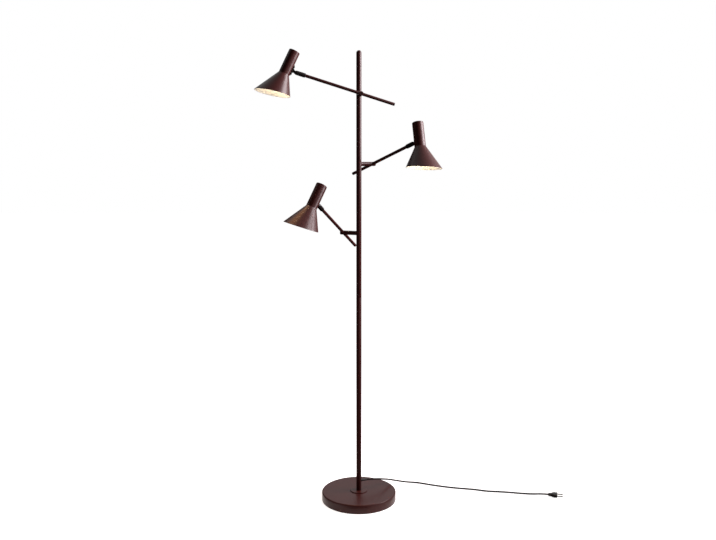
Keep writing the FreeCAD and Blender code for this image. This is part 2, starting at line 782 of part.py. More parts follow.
def rounded_section(x, width, height, corner):
    """A rounded rectangle across X."""
    half_w = width / 2 - corner
    half_h = height / 2 - corner
    edges = []
    corners = []
    for y, z, start in ((half_w, half_h, 0), (-half_w, half_h, 90), (-half_w, -half_h, 180),
                        (half_w, -half_h, 270)):
        corners.append([around((y, z), corner, start + turn) for turn in (0, 45, 90)])
    for i, (a, middle, b) in enumerate(corners):
        edges.append(Part.Arc(*(Vector(x, p[0], p[1]) for p in (a, middle, b))).toShape())
        following = corners[(i + 1) % 4][0]
        edges.append(Part.LineSegment(Vector(x, *b), Vector(x, *following)).toShape())
    return Part.Wire(edges)


def make_plug_body():
    """Flat two-pin plug: a narrow rear that widens to a slim face."""
    sections = [rounded_section(0, plug_rear_width, plug_rear_thick, plug_rear_corner),
                rounded_section(plug_collar, plug_neck_width, plug_neck_thick, plug_rear_corner),
                rounded_section(plug_face_start, plug_width, plug_thick, plug_corner),
                rounded_section(plug_length, plug_width, plug_thick, plug_corner)]
    body = Part.makeLoft(sections, True, True)
    for side in (-1, 1):
        hole = Part.makeCylinder(pin_radius + touch_gap, pin_in + 1,
                                 Vector(plug_length - pin_in, side * pin_pitch / 2, 0), Vector(1, 0, 0))
        body = body.cut(hole)
    origin, ahead = plug_frame()
    return put(body, origin, ahead, Vector(0, 0, 1))


def make_plug_pins():
    origin, ahead = plug_frame()
    pins = []
    for side in (-1, 1):
        pin = bevelled_rod(pin_radius, plug_length - pin_in, plug_length + pin_length, screw_bevel)
        pins.append(along(pin, Vector(1, 0, 0), Vector(0, side * pin_pitch / 2, 0)))
    return put(Part.Compound(pins), origin, ahead, Vector(0, 0, 1))


def export(name, shape):
    shape.exportStep(os.path.join("parts", name + ".step"))
    print("%-22s solids %d volume %.0f valid %s" % (name, len(shape.Solids), shape.Volume, shape.isValid()))


def main():
    os.makedirs("parts", exist_ok=True)
    fixed = {
        "base_pad": make_base_pad, "base_weight": make_base_weight, "base_cover": make_base_cover,
        "foot_flange": make_foot_flange, "base_stud": make_base_stud, "base_nut": make_base_nut,
        "pole_lower": make_pole_lower, "pole_joint": make_pole_joint, "pole_upper": make_pole_upper,
        "pole_cap": make_pole_cap, "stub_bosses": make_stub_bosses, "friction_nuts": make_friction_nuts,
        "inner_lead": make_inner_lead, "cord_relief": make_cord_relief, "power_cord": make_power_cord,
        "plug_body": make_plug_body, "plug_pins": make_plug_pins,
    }
    for name, make in fixed.items():
        export(name, make())

    on_stub = {"stub": make_stub(), "stub_cap": make_stub_cap(), "grub_screw": make_grub_screw(),
               "arm_tube": make_arm_tube(), "arm_plug": make_arm_plug()}
    on_sleeve = {"sleeve": make_sleeve(), "pivot_screw": make_pivot_screw()}
    on_shade = {"lug": make_lug(), "lug_screws": make_lug_screws(), "shade": make_shade(),
                "holder_bracket": make_holder_bracket(), "lamp_holder": make_lamp_holder(),
                "bulb_glass": make_bulb_glass(), "bulb_cap": make_bulb_cap()}
    for level, arm in arms.items():
        place = arm_frame(arm)
        for name, shape in on_stub.items():
            export(level + "_" + name, put(shape, place["root"], place["out"], place["stub"]))
        for name, shape in on_sleeve.items():
            export(level + "_" + name, put(shape, place["pivot"], place["out"], place["up"]))
        for name, shape in on_shade.items():
            export(level + "_" + name, put(shape, place["foot"], place["away"], place["neck"]))


main()
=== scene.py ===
import json
import math

import bmesh
import bpy
import numpy as np
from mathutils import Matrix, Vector


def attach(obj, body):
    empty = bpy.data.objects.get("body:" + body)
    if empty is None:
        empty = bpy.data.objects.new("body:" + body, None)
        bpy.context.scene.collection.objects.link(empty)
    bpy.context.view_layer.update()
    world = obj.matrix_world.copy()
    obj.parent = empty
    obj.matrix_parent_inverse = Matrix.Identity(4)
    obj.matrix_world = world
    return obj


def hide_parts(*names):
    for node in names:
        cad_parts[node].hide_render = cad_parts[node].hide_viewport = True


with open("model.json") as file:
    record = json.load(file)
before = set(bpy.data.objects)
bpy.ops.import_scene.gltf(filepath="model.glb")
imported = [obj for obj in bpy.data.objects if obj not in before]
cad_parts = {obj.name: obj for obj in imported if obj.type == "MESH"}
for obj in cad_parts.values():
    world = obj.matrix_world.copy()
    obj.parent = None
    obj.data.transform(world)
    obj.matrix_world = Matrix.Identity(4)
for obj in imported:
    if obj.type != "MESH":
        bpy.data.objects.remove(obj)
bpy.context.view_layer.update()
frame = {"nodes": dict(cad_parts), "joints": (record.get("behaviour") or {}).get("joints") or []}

levels = ("upper", "middle", "lower")  # the three arms, from the top of the pole down
joints = {joint["name"]: joint for joint in frame["joints"]}
worldX = np.array([1.0, 0.0, 0.0])
worldZ = np.array([0.0, 0.0, 1.0])

# all lengths are in metres
mergeGap = 2e-7  # points of a new piece that lie closer are one
packedMergeGap = 1e-6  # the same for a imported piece
flatAngle = math.radians(1)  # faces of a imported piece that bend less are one
easeAngle = math.radians(40)  # edges that bend more are eased
sharpAngle = math.radians(32)  # edges that bend more are shaded crisp
fitGap = 0.00005  # between a piece and the bore it sits in

# roundings of edges, from a mere glint to a soft one
hairEdge, fineEdge, thinEdge, softEdge, fullEdge = 0.0001, 0.0002, 0.0003, 0.0004, 0.0006


def linkObject(name, data):
    thing = bpy.data.objects.new(name, data)
    bpy.context.scene.collection.objects.link(thing)
    return thing


# Camera: it stands in front of the lamp, a little below its top, and looks down slightly

photoCamera = {
    "place": (0.0, -2.735, 1.170),
    "lookDown": 7.85,  # degrees under the horizon
    "lookRight": -0.06,  # degrees to the right of straight ahead
    "lens": 42.05,
    "sensor": 36.0,
}


def makeCamera(shot):
    data = bpy.data.cameras.new("photoCamera")
    data.lens = shot["lens"]
    data.sensor_width = shot["sensor"]
    camera = linkObject("photoCamera", data)
    camera.location = shot["place"]
    tip = math.radians(90 - shot["lookDown"])
    camera.rotation_euler = (tip, 0.0, -math.radians(shot["lookRight"]))
    bpy.context.scene.camera = camera


makeCamera(photoCamera)
print("camera placed")


# Surfaces: every new piece is a grid of points or a profile carried round an axis

def unit(vector):
    vector = np.asarray(vector, float)
    return vector / np.linalg.norm(vector)


def camel(name):
    head, *rest = name.split("_")
    return head + "".join(word.capitalize() for word in rest)


def gridFaces(rows, columns, closeRows=False):
    # face (i, j) joins grid points (i, j), (i, j+1), (i+1, j+1) and (i+1, j); each row is a ring
    i = np.arange(rows if closeRows else rows - 1)[:, None]
    j = np.arange(columns)[None, :]
    nextI = (i + 1) % rows
    nextJ = (j + 1) % columns
    corners = (i * columns + j, i * columns + nextJ, nextI * columns + nextJ, nextI * columns + j)
    return np.stack(corners, axis=-1).reshape(-1, 4)


def softProfile(corners, steps=5, closed=False):
    # each corner (radius, height, rounding) turns into an arc that touches both its sides:
    # the arc's middle lies on the corner's bisector, its ends one tangent length from the corner
    points = []
    count = len(corners)
    for k, (r, z, rounding) in enumerate(corners):
        here = np.array([r, z], float)
        isEnd = not closed and k in (0, count - 1)
        if rounding <= 0 or isEnd:
            points.append(here)
            continue
        back = unit(np.array(corners[k - 1][:2]) - here)
        ahead = unit(np.array(corners[(k + 1) % count][:2]) - here)
        half = math.acos(np.clip(np.dot(back, ahead), -1, 1)) / 2
        centre = here + unit(back + ahead) * rounding / math.sin(half)
        first = here + back * rounding / math.tan(half)
        last = here + ahead * rounding / math.tan(half)
        start = math.atan2(*(first - centre)[::-1])
        sweep = (math.atan2(*(last - centre)[::-1]) - start + math.pi) % (2 * math.pi) - math.pi
        angles = start + sweep * np.linspace(0, 1, steps + 1)
        points.extend(centre + rounding * np.stack([np.cos(angles), np.sin(angles)], axis=-1))
    return np.array(points)


def turnedPoints(profile, place, around):
    # origin + radius * (cos(u) * x axis + sin(u) * y axis) + height * z axis
    origin, xAxis, zAxis = place
    yAxis = np.cross(zAxis, xAxis)
    u = np.linspace(0, 2 * np.pi, around, endpoint=False)
    circle = np.cos(u)[:, None] * xAxis + np.sin(u)[:, None] * yAxis
    return origin + profile[:, 0, None, None] * circle + profile[:, 1, None, None] * zAxis


def meshFrom(name, points, faces):
    mesh = bpy.data.meshes.new(name)
    mesh.from_pydata(np.asarray(points).reshape(-1, 3).tolist(), [], np.asarray(faces).tolist())
    return mesh


def cleanMesh(mesh):
    # merges poles and seams and turns the faces outwards
    work = bmesh.new()
    work.from_mesh(mesh)
    bmesh.ops.remove_doubles(work, verts=work.verts, dist=mergeGap)
    bmesh.ops.recalc_face_normals(work, faces=work.faces)
    work.to_mesh(mesh)
    work.free()
    return mesh


def smoothMesh(mesh):
    mesh.polygons.foreach_set("use_smooth", np.ones(len(mesh.polygons), bool))
    mesh.set_sharp_from_angle(angle=sharpAngle)


def mount(piece, body, node):
    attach(piece, body)
    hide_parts(node)


def finishMesh(node, points, faces, body, materials, faceMaterial=None):
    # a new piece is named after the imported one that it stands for
    mesh = meshFrom(camel(node), points, faces)
    if faceMaterial is not None:
        mesh.polygons.foreach_set("material_index", np.asarray(faceMaterial, np.int32))
    smoothMesh(cleanMesh(mesh))
    mesh.update()
    for material in materials:
        mesh.materials.append(material)
    piece = linkObject(camel(node), mesh)
    mount(piece, body, node)
    return piece


def turnedPiece(node, corners, place, body, material, around=64, closed=False, steps=5):
    profile = softProfile(corners, steps, closed)
    faces = gridFaces(len(profile), around, closeRows=closed)
    return finishMesh(node, turnedPoints(profile, place, around), faces, body, [material])


def carve(piece, cutters):
    # takes closed meshes out of a piece, and keeps the result as its mesh
    for cutter in cutters:
        tool = linkObject("cutter", cutter)
        cut = piece.modifiers.new("cut", "BOOLEAN")
        cut.operation = "DIFFERENCE"
        cut.solver = "EXACT"
        cut.object = tool
        depsgraph = bpy.context.evaluated_depsgraph_get()
        carved = bpy.data.meshes.new_from_object(piece.evaluated_get(depsgraph))
        piece.modifiers.clear()
        piece.data = carved
        bpy.data.objects.remove(tool)
    smoothMesh(piece.data)


def rodMesh(start, end, radius, around=40):
    # a closed cylinder between two points, for carving
    axis = unit(np.subtract(end, start))
    helper = worldX if abs(axis[0]) < 0.9 else worldZ
    xAxis = unit(np.cross(helper, axis))
    length = float(np.linalg.norm(np.subtract(end, start)))
    profile = np.array([[0, 0], [radius, 0], [radius, length], [0, length]])
    points = turnedPoints(profile, (np.asarray(start, float), xAxis, axis), around)
    return cleanMesh(meshFrom("rod", points, gridFaces(4, around)))


def boxMesh(centre, axes, size):
    # a closed block: centre plus or minus half of each size along each axis
    signs = np.array([[i, j, k] for i in (-1, 1) for j in (-1, 1) for k in (-1, 1)])
    corners = centre + (signs * np.array(size) / 2) @ np.array(axes)
    faces = [(0, 1, 3, 2), (4, 6, 7, 5), (0, 4, 5, 1), (2, 3, 7, 6), (0, 2, 6, 4), (1, 5, 7, 3)]
    return cleanMesh(meshFrom("block", corners, faces))


def dressNode(node, body, material, edge):
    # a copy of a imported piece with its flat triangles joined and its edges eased
    mesh = frame["nodes"][node].data.copy()
    mesh.materials.clear()
    work = bmesh.new()
    work.from_mesh(mesh)
    bmesh.ops.remove_doubles(work, verts=work.verts, dist=packedMergeGap)
    bmesh.ops.dissolve_limit(work, angle_limit=flatAngle, verts=work.verts, edges=work.edges)
    work.to_mesh(mesh)
    work.free()
    smoothMesh(mesh)
    mesh.materials.append(material)
    piece = linkObject(camel(node), mesh)
    ease = piece.modifiers.new("ease", "BEVEL")
    ease.width = edge
    ease.segments = 2
    ease.limit_method = "ANGLE"
    ease.angle_limit = easeAngle
    mount(piece, body, node)
    return piece


# Node groups: effects that several materials share

def newGroup(name, inputs, outputs):
    group = bpy.data.node_groups.new(name, "ShaderNodeTree")
    for label, kind, value in inputs:
        socket = group.interface.new_socket(label, in_out="INPUT", socket_type=kind)
        socket.default_value = value
    for label, kind in outputs:
        group.interface.new_socket(label, in_out="OUTPUT", socket_type=kind)
    return group, group.nodes.new("NodeGroupInput"), group.nodes.new("NodeGroupOutput")


def addNode(tree, kind, values=None, **settings):
    node = tree.nodes.new(kind)
    for key, value in settings.items():
        setattr(node, key, value)
    for label, value in (values or {}).items():
        node.inputs[label].default_value = value
    return node


def makeGrainGroup():
    # orange peel of sprayed powder: a fine noise for mask and bump, and a coarse one for colour
    group, source, target = newGroup(
        "powderGrain",
        [("Fine Scale", "NodeSocketFloat", 900.0), ("Coarse Scale", "NodeSocketFloat", 40.0),
         ("Depth", "NodeSocketFloat", 0.1)],
        [("Mask", "NodeSocketFloat"), ("Cloud", "NodeSocketFloat"),
         ("Normal", "NodeSocketVector")])
    place = addNode(group, "ShaderNodeTexCoord")
    fine = addNode(group, "ShaderNodeTexNoise", {"Detail": 3.0})
    coarse = addNode(group, "ShaderNodeTexNoise", {"Detail": 4.0})
    bump = addNode(group, "ShaderNodeBump", {"Distance": 0.0004})
    link = group.links.new
    link(place.outputs["Object"], fine.inputs["Vector"])
    link(place.outputs["Object"], coarse.inputs["Vector"])
    link(source.outputs["Fine Scale"], fine.inputs["Scale"])
    link(source.outputs["Coarse Scale"], coarse.inputs["Scale"])
    link(source.outputs["Depth"], bump.inputs["Strength"])
    link(fine.outputs["Fac"], bump.inputs["Height"])
    link(fine.outputs["Fac"], target.inputs["Mask"])
    link(coarse.outputs["Fac"], target.inputs["Cloud"])
    link(bump.outputs["Normal"], target.inputs["Normal"])
    return group


def makeDustAndTopLightGroup():
    # settled dust and painted top light on upward faces: the normal's height times a broken noise
    group, source, target = newGroup(
        "settledDust",
        [("Base", "NodeSocketColor", (0.1, 0.1, 0.1, 1)),
         ("Dust", "NodeSocketColor", (0.4, 0.38, 0.36, 1)), ("Amount", "NodeSocketFloat", 0.05)],
        [("Color", "NodeSocketColor")])
    place = addNode(group, "ShaderNodeTexCoord")
    noise = addNode(group, "ShaderNodeTexNoise", {"Scale": 120.0, "Detail": 6.0})
    geometry = addNode(group, "ShaderNodeNewGeometry")
    split = addNode(group, "ShaderNodeSeparateXYZ")
    upward = addNode(group, "ShaderNodeMapRange", {"From Min": 0.2}, clamp=True)
    speckle = addNode(group, "ShaderNodeMapRange", {"From Min": 0.45, "From Max": 0.75}, clamp=True)
    both = addNode(group, "ShaderNodeMath", operation="MULTIPLY")
    share = addNode(group, "ShaderNodeMath", operation="MULTIPLY")
    mix = addNode(group, "ShaderNodeMix", data_type="RGBA")
    link = group.links.new
    link(place.outputs["Object"], noise.inputs["Vector"])
    link(geometry.outputs["Normal"], split.inputs["Vector"])
    link(split.outputs["Z"], upward.inputs["Value"])
    link(noise.outputs["Fac"], speckle.inputs["Value"])
    link(upward.outputs["Result"], both.inputs[0])
    link(speckle.outputs["Result"], both.inputs[1])
    link(both.outputs["Value"], share.inputs[0])
    link(source.outputs["Amount"], share.inputs[1])
    link(share.outputs["Value"], mix.inputs["Factor"])
    link(source.outputs["Base"], mix.inputs["A"])
    link(source.outputs["Dust"], mix.inputs["B"])
    link(mix.outputs["Result"], target.inputs["Color"])
    return group


powderGrain = makeGrainGroup()
settledDust = makeDustAndTopLightGroup()


def grainRange(tree, factor, low, high):
    # carries the middle of a noise, from 0.3 to 0.7, over to a range of values
    limits = {"From Min": 0.3, "From Max": 0.7, "To Min": low, "To Max": high}
    node = addNode(tree, "ShaderNodeMapRange", limits, clamp=True)
    tree.links.new(factor, node.inputs["Value"])
    return node.outputs["Result"]


def blendColours(tree, factor, first, second):
    node = addNode(tree, "ShaderNodeMix", {"A": (*first, 1), "B": (*second, 1)}, data_type="RGBA")
    tree.links.new(factor, node.inputs["Factor"])
    return node.outputs["Result"]


def newSurface(name):
    material = bpy.data.materials.new(name)
    material.use_nodes = True
    return material, material.node_tree, material.node_tree.nodes["Principled BSDF"]


def grainedMaterial(name, look):
    # one Principled surface whose colour, roughness and bump all come from the shared grain
    material, tree, shader = newSurface(name)
    link = tree.links.new
    grain = addNode(tree, "ShaderNodeGroup", node_tree=powderGrain)
    grain.inputs["Fine Scale"].default_value = look["fineScale"]
    grain.inputs["Coarse Scale"].default_value = look.get("coarseScale", 40.0)
    grain.inputs["Depth"].default_value = look["depth"]
    colour = blendColours(tree, grain.outputs["Cloud"], look["dark"], look["light"])
    # upward faces get a thin light reddish film: dust, and painted light on the tops
    if "dust" in look:
        dust = addNode(tree, "ShaderNodeGroup", node_tree=settledDust)
        dust.inputs["Dust"].default_value = (*look["dustAndTopLightColour"], 1)
        dust.inputs["Amount"].default_value = look["dust"]
        link(colour, dust.inputs["Base"])
        colour = dust.outputs["Color"]
    link(colour, shader.inputs["Base Color"])
    link(grainRange(tree, grain.outputs["Mask"], *look["rough"]), shader.inputs["Roughness"])
    link(grain.outputs["Normal"], shader.inputs["Normal"])
    shader.inputs["Metallic"].default_value = look.get("metal", 0.0)
    shader.inputs["Specular IOR Level"].default_value = look.get("shine", 0.5)
    return material


burgundy = {
    "rough": (0.32, 0.38), "depth": 0.05, "fineScale": 1100.0, "coarseScale": 24.0,
    # dust and painted top light: a thin reddish film on upward faces
    "shine": 0.185, "dust": 0.02, "dustAndTopLightColour": (0.20, 0.10, 0.09),
}
looks = {
    "burgundyCoat": {
        **burgundy, "dark": (0.0275, 0.0054, 0.0049), "light": (0.0360, 0.0075, 0.0067)},
    # the coat made lighter for the base cover and its flange: painted light for the brighter top of
    # the base
    "burgundyBasePaintedLight": {
        **burgundy, "dark": (0.0345, 0.0068, 0.0061), "light": (0.0450, 0.0094, 0.0084)},
    "blackCoat": {
        "dark": (0.006, 0.003, 0.003), "light": (0.009, 0.005, 0.004), "rough": (0.40, 0.50),
        "depth": 0.06, "fineScale": 1200.0, "coarseScale": 60.0, "shine": 0.16},
    "blackSteel": {
        "dark": (0.020, 0.019, 0.019), "light": (0.035, 0.033, 0.032), "rough": (0.28, 0.4),
        "depth": 0.05, "metal": 0.9, "fineScale": 2200.0},
    "blackPlastic": {
        "dark": (0.014, 0.011, 0.011), "light": (0.022, 0.018, 0.018), "rough": (0.42, 0.55),
        "depth": 0.14, "fineScale": 1600.0, "shine": 0.4},
    "zincSteel": {
        "dark": (0.40, 0.40, 0.38), "light": (0.62, 0.61, 0.58), "rough": (0.28, 0.42),
        "depth": 0.06, "metal": 1.0, "fineScale": 700.0, "coarseScale": 160.0},
    "castIron": {
        "dark": (0.06, 0.06, 0.06), "light": (0.12, 0.12, 0.12), "rough": (0.6, 0.8),
        "depth": 0.5, "metal": 0.3, "fineScale": 500.0},
    "rubberPad": {
        "dark": (0.012, 0.012, 0.012), "light": (0.022, 0.021, 0.021), "rough": (0.7, 0.85),
        "depth": 0.35, "fineScale": 800.0},
    "cordSheath": {
        "dark": (0.008, 0.005, 0.005), "light": (0.014, 0.009, 0.008), "rough": (0.5, 0.62),
        "depth": 0.06, "fineScale": 1500.0, "shine": 0.15},
    "nickelPin": {
        "dark": (0.52, 0.50, 0.45), "light": (0.70, 0.68, 0.62), "rough": (0.16, 0.28),
        "depth": 0.03, "metal": 1.0, "fineScale": 900.0},
    "whiteHolder": {
        "dark": (0.66, 0.65, 0.61), "light": (0.74, 0.73, 0.70), "rough": (0.25, 0.35),
        "depth": 0.04, "fineScale": 900.0},
    "whiteEnamel": {
        "dark": (0.78, 0.76, 0.71), "light": (0.84, 0.82, 0.78), "rough": (0.38, 0.5),
        "depth": 0.08, "fineScale": 1200.0, "shine": 0.4},
    "bulbCap": {
        "dark": (0.60, 0.60, 0.58), "light": (0.78, 0.78, 0.76), "rough": (0.2, 0.35),
        "depth": 0.05, "metal": 1.0, "fineScale": 900.0},
    "paleLead": {
        "dark": (0.45, 0.45, 0.43), "light": (0.55, 0.55, 0.53), "rough": (0.45, 0.55),
        "depth": 0.05, "fineScale": 900.0},
}
finish = {name: grainedMaterial(name, look) for name, look in looks.items()}

bulbLight = {
    "glass": (0.92, 0.90, 0.86),
    "glassRough": 0.4,
    "fineScale": 1400.0,
    "depth": 0.04,
    "glow": (1.0, 0.80, 0.52),
    "glowPale": (1.0, 0.86, 0.62),
    "strength": 10.0,
    "beamColour": (1.0, 0.42, 0.14),
    "beamPower": 4.2,  # watts of each bulb's beam
    "beamStart": 0.104,  # along the neck's axis, below the whole rim
    "beamAngle": 118.0,  # degrees
    "beamBlend": 0.6,
    "beamSize": 0.13,
}


def makeBulbGlass(look):
    # frosted glass that glows in two close warm whites
    material, tree, shader = newSurface("litGlass")
    grain = addNode(tree, "ShaderNodeGroup", node_tree=powderGrain)
    grain.inputs["Fine Scale"].default_value = look["fineScale"]
    grain.inputs["Depth"].default_value = look["depth"]
    warm = blendColours(tree, grain.outputs["Cloud"], look["glow"], look["glowPale"])
    tree.links.new(warm, shader.inputs["Emission Color"])
    tree.links.new(grain.outputs["Normal"], shader.inputs["Normal"])
    shader.inputs["Base Color"].default_value = (*look["glass"], 1)
    shader.inputs["Emission Strength"].default_value = look["strength"]
    shader.inputs["Roughness"].default_value = look["glassRough"]
    return material


litGlass = makeBulbGlass(bulbLight)
print("materials made:", len(bpy.data.materials))


# Base: pad, weight under a pressed cover, and the thin flange at the foot of the pole

poleAxis = (np.zeros(3), worldX, worldZ)

baseShape = {
    "radius": 0.126, "top": 0.031, "wall": 0.0015, "edge": 0.0035, "lift": 0.001,
    "liftEdge": 0.0005, "bore": 0.00505, "padRadius": 0.1242, "padTop": 0.002,
    "flangeRadius": 0.029, "flangeTop": 0.0335, "flangeEdge": 0.0008, "stepRadius": 0.00695,
    "stepTop": 0.0395,
}


def makeBase(shape):
    r, top, wall, bore = shape["radius"], shape["top"], shape["wall"], shape["bore"]
    lift, liftEdge = shape["lift"], shape["liftEdge"]
    cover = [(bore, top, 0), (r, top, shape["edge"]), (r, lift, liftEdge),
             (r - wall, lift, liftEdge), (r - wall, top - wall, shape["edge"] - wall),
             (bore, top - wall, 0)]
    # the lighter copy of the coat, painted light on the base
    coat = finish["burgundyBasePaintedLight"]
    turnedPiece("base_cover", cover, poleAxis, "root", coat, 160, closed=True, steps=8)
    padRadius, padTop = shape["padRadius"], shape["padTop"]
    pad = [(0, 0, 0), (padRadius, 0, fullEdge), (padRadius, padTop, thinEdge), (0, padTop, 0)]
    turnedPiece("base_pad", pad, poleAxis, "root", finish["rubberPad"], 128)
    wide, flangeTop = shape["flangeRadius"], shape["flangeTop"]
    narrow, stepTop = shape["stepRadius"], shape["stepTop"]
    flange = [(bore, top, 0), (wide, top, fineEdge), (wide, flangeTop, shape["flangeEdge"]),
              (narrow, flangeTop, 0), (narrow, stepTop, thinEdge), (bore, stepTop, 0)]
    turnedPiece("foot_flange", flange, poleAxis, "root", coat, 96, closed=True)


makeBase(baseShape)
print("base made")


# Pole: two lengths of tube with a hairline joint, a domed cap and the brazed bosses of the arms

poleShape = {
    "radius": 0.0085, "wall": 0.0015, "foot": 0.0335, "split": 0.700, "seat": 1.4915,
    "seam": 0.00018, "capSkirt": 0.012, "around": 72,
}
bossShape = {
    "radius": 0.007, "reach": 0.014, "spigot": 0.004, "spigotEnd": 0.036, "braze": 0.0011,
    "edge": 0.0004, "sunk": 0.00005,
    "clear": 0.003,  # the straight collar starts this far out of the pole's face
    "hollow": 0.003,  # the near end's middle lies this deep in it
}


def makePole(shape):
    r, inner, seam = shape["radius"], shape["radius"] - shape["wall"], shape["seam"]
    seat, around, coat = shape["seat"], shape["around"], finish["burgundyCoat"]
    for node, low, high in (("pole_lower", shape["foot"], shape["split"]),
                            ("pole_upper", shape["split"], seat)):
        wall = [(inner, low, 0), (r, low, seam), (r, high, seam), (inner, high, 0)]
        turnedPiece(node, wall, poleAxis, "root", coat, around, closed=True, steps=3)
    plug, skirt = inner - fitGap, seat - shape["capSkirt"]
    angles = np.linspace(0, np.pi / 2, 17)
    dome = [(r * math.cos(a), seat + r * math.sin(a), 0) for a in angles[1:]]
    cap = [(0, skirt, 0), (plug, skirt, fullEdge), (plug, seat, 0), (r - seam, seat, 0),
           (r, seat + seam, 0)] + dome[:-1] + [(0, seat + r, 0)]
    turnedPiece("pole_cap", cap, poleAxis, "root", coat, around)


# both stand before their own code because each arm's place is worked out from them
lugShape = {"gap": 0.019, "rise": 0.021}
shadeShape = {
    "neckRadius": 0.0175, "neckLength": 0.078, "topEdge": 0.002, "wall": 0.0012,
    "halfAngle": 28.5, "depth": 0.068, "slant": 14.0, "flare": 0.008, "around": 128,
}


def armPlace(level):
    # directions and points of one arm at rest, read from its three packed joints
    tilt, swivel, nod = (joints[f"{level}_{kind}"]
                         for kind in ("arm_tilt", "sleeve_swivel", "shade_tilt"))
    cross, pivot = np.array(tilt["pos_m"]), np.array(swivel["pos_m"])
    root = np.array([0, 0, cross[2]])
    stub, out, hinge = unit(cross - root), unit(swivel["axis"]), unit(nod["axis"])
    up = np.cross(out, hinge)
    lean = -math.radians(sum(nod["range_deg"]) / 2)
    neck = up * math.cos(lean) + out * math.sin(lean)
    away = out * math.cos(lean) - up * math.sin(lean)
    foot = pivot + away * (lugShape["gap"] + shadeShape["neckRadius"]) - neck * lugShape["rise"]
    return {"root": root, "stub": stub, "cross": cross, "out": out, "up": up, "pivot": pivot,
            "neck": neck, "away": away, "foot": foot}


places = {level: armPlace(level) for level in levels}


def bossPoints(place, shape, poleRadius, around=64):
    # a collar whose near end follows the pole: at angle u and radius r its point stands
    # sqrt(pole radius squared - (r sin u) squared) from the pole's axis, plus the braze's height
    r, edge, reach = shape["radius"], shape["edge"], shape["reach"]
    spigot, spigotEnd = shape["spigot"], shape["spigotEnd"]
    u = np.linspace(0, 2 * np.pi, around, endpoint=False)
    bend = np.linspace(0, np.pi / 2, 7)
    radius = r + shape["braze"] * (1 - np.sin(bend))
    height = shape["braze"] * (1 - np.cos(bend))
    sideways = radius[:, None] * np.sin(u)
    saddle = np.sqrt(poleRadius ** 2 - sideways ** 2) + height[:, None] - shape["sunk"]
    rest = softProfile([(r, poleRadius + shape["clear"], 0), (r, reach, edge), (spigot, reach, 0),
                        (spigot, spigotEnd, edge), (0, spigotEnd, 0)])
    allRadius = np.concatenate([np.zeros(1), radius, rest[:, 0]])
    allHeight = np.concatenate([np.full((1, around), poleRadius - shape["hollow"]), saddle,
                                np.repeat(rest[:, 1:], around, axis=1)])
    across = np.cross(worldZ, place["stub"])
    circle = np.cos(u)[:, None] * worldZ + np.sin(u)[:, None] * across
    return place["root"] + allRadius[:, None, None] * circle + allHeight[..., None] * place["stub"]


def makeBosses(shape):
    parts = [bossPoints(places[level], shape, poleShape["radius"]) for level in levels]
    rows, columns = parts[0].shape[:2]
    faces = [gridFaces(rows, columns) + k * rows * columns for k in range(len(parts))]
    finishMesh("stub_bosses", np.concatenate(parts), np.concatenate(faces), "root",
               [finish["burgundyCoat"]])


makePole(poleShape)
makeBosses(bossShape)
print("pole made")


# Arms: stub, cap, tube and end plug of each level

armShape = {
    "radius": 0.005, "wall": 0.0012, "free": 0.112, "plugThick": 0.0016, "plugSkirt": 0.008,
    "plugEdge": 0.0008, "tubeEnd": 0.1987, "stubRadius": 0.007, "stubStart": 0.0143,
    "stubEnd": 0.0635, "stubBore": 0.00575, "shoulder": 0.026, "spigotBore": 0.00405,
    "capThick": 0.002, "capPlug": 0.0022, "capEdge": 0.0008, "grubBore": 0.00255,
}


def makeArm(level, shape):
    place, body, coat = places[level], f"{level}_arm", finish["burgundyCoat"]
    stubFrame = (place["root"], place["out"], place["stub"])
    armFrame = (place["cross"], place["stub"], place["out"])
    r, bore, spigot = shape["stubRadius"], shape["stubBore"], shape["spigotBore"]
    start, shoulder, end = shape["stubStart"], shape["shoulder"], shape["stubEnd"]
    stub = [(spigot, start, 0), (r, start, thinEdge), (r, end, hairEdge), (bore, end, 0),
            (bore, shoulder, 0), (spigot, shoulder, 0)]
    piece = turnedPiece(f"{level}_stub", stub, stubFrame, body, coat, closed=True)
    tubeR, reach = shape["radius"], place["out"] * r * 2  # long enough to pass right through
    carve(piece, [rodMesh(place["cross"] - reach, place["cross"] + reach, tubeR + fitGap)])
    high, low = end + shape["capThick"], end - shape["capPlug"]
    plug, grub = bore - fitGap, shape["grubBore"]
    cap = [(grub, low, 0), (plug, low, 0), (plug, end, 0), (r, end, hairEdge),
           (r, high, shape["capEdge"]), (grub, high, fineEdge)]
    turnedPiece(f"{level}_stub_cap", cap, stubFrame, body, coat, closed=True)
    face, inner, tubeEnd = -shape["free"], tubeR - shape["wall"], shape["tubeEnd"]
    tubeStart = face + shape["plugThick"]
    tube = [(inner, tubeStart, 0), (tubeR, tubeStart, hairEdge), (tubeR, tubeEnd, hairEdge),
            (inner, tubeEnd, 0)]
    turnedPiece(f"{level}_arm_tube", tube, armFrame, body, coat, closed=True)
    skirt, skirtEnd = inner - fitGap, tubeStart + shape["plugSkirt"]
    endPlug = [(0, face, 0), (tubeR, face, shape["plugEdge"]), (tubeR, tubeStart, hairEdge),
               (skirt, tubeStart, 0), (skirt, skirtEnd, 0), (0, skirtEnd, 0)]
    turnedPiece(f"{level}_arm_plug", endPlug, armFrame, body,
                finish["blackPlastic"])
    dressNode(f"{level}_grub_screw", body, finish["blackSteel"], hairEdge)


for level in levels:
    makeArm(level, armShape)
print("arms made")


# Sleeves: the swivelling fork at the end of each arm, with its shoulder screw

sleeveShape = {
    "radius": 0.007, "start": -0.025, "taper": 0.004, "taperEdge": 0.004, "end": 0.012,
    "tip": 0.0038, "bore": 0.00505, "boreEnd": -0.009, "edge": 0.0009, "tipEdge": 0.0005,
    "slotWidth": 0.0054, "slotFloor": -0.007, "slotLength": 0.03, "pinBore": 0.00155,
    "headBore": 0.00285, "headSeat": 0.0053, "groove": 0.0004, "grooveAt": (-0.0222, -0.0206),
}


